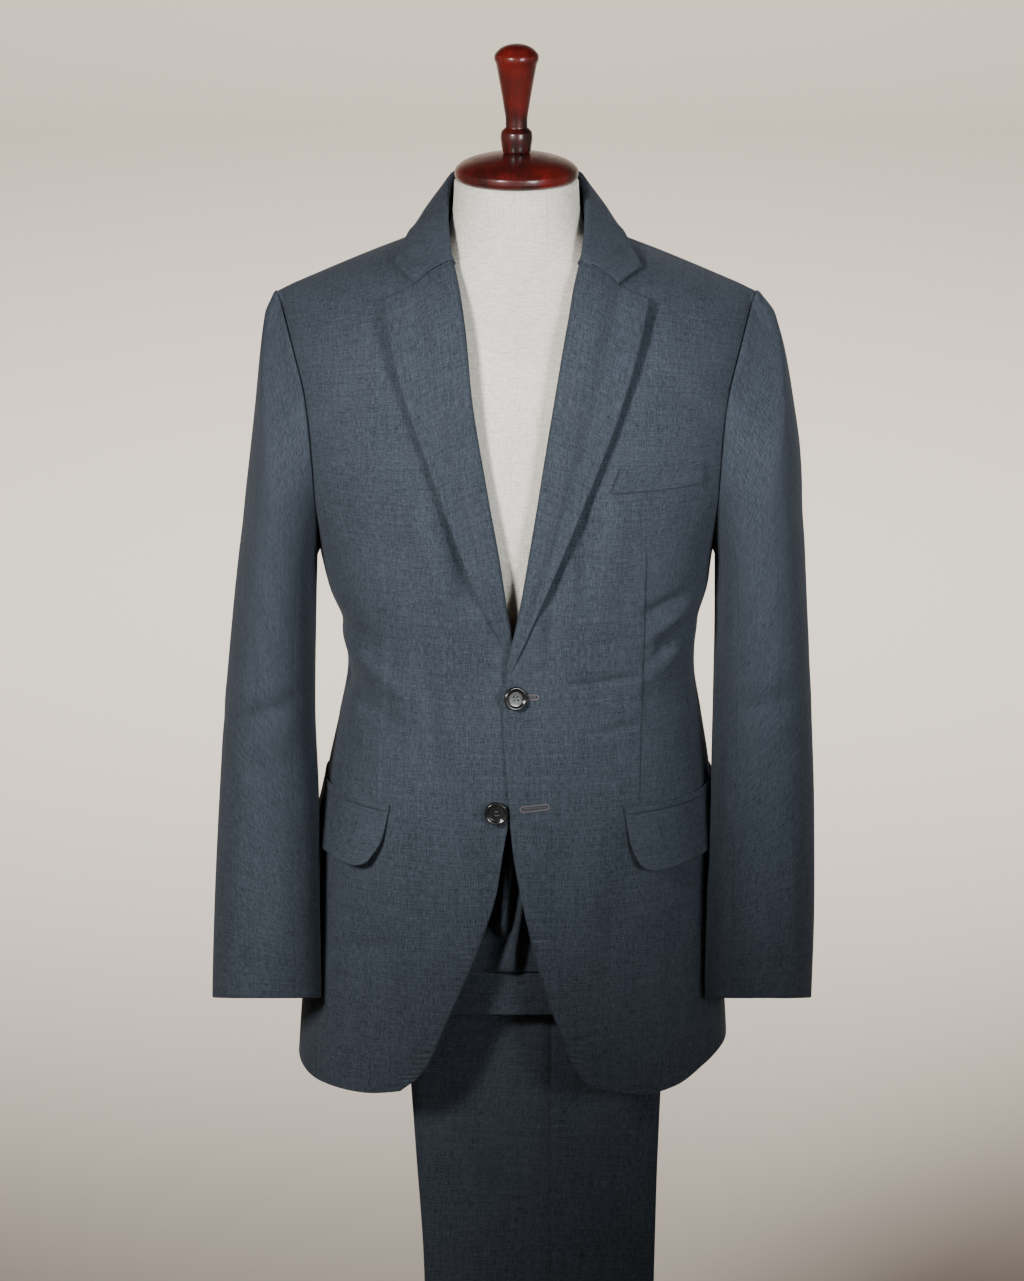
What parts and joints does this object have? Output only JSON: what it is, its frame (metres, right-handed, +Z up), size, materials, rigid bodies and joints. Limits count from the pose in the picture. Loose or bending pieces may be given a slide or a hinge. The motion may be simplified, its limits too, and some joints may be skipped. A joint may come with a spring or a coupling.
{
  "type": "suit on a dress form",
  "caption": "Two-piece suit on a limbless dress form: buttoned jacket with notch lapels, folded trousers hung over a bar under the form.",
  "frame": {"origin": "centre of the bounding box at the underside of the stand's base", "axes": "+Z up; +X towards the wearer's left, which is the right side as seen from the front; -Y is the front"},
  "size_m": [0.5218, 0.38, 1.6356],
  "materials": {
    "cloth": "matt worsted",
    "button": "glossy horn look",
    "linen": "matt linen",
    "mahogany": "gloss varnish",
    "steel": "satin"
  },
  "bodies": {
    "root": {"front_button_1": "button", "front_button_2": "button", "form_torso": "linen", "form_neck_cap": "mahogany", "form_neck_handle": "mahogany", "stand_pole": "steel", "stand_base": "steel", "trouser_bar": "steel", "bar_clamp": "steel", "jacket_front_left": "cloth", "jacket_front_right": "cloth", "jacket_side_left": "cloth", "jacket_side_right": "cloth", "jacket_back_left": "cloth", "jacket_back_right": "cloth", "jacket_top_sleeve_left": "cloth", "jacket_top_sleeve_right": "cloth", "jacket_under_sleeve_left": "cloth", "jacket_under_sleeve_right": "cloth", "jacket_lapel_left": "cloth", "jacket_lapel_right": "cloth", "jacket_collar": "cloth", "pocket_flap_left": "cloth", "pocket_flap_right": "cloth", "pocket_jetting_left": "cloth", "pocket_jetting_right": "cloth", "breast_welt": "cloth", "trouser_leg_left": "cloth", "trouser_leg_right": "cloth", "trouser_waistband": "cloth"}
  },
  "joints": []
}
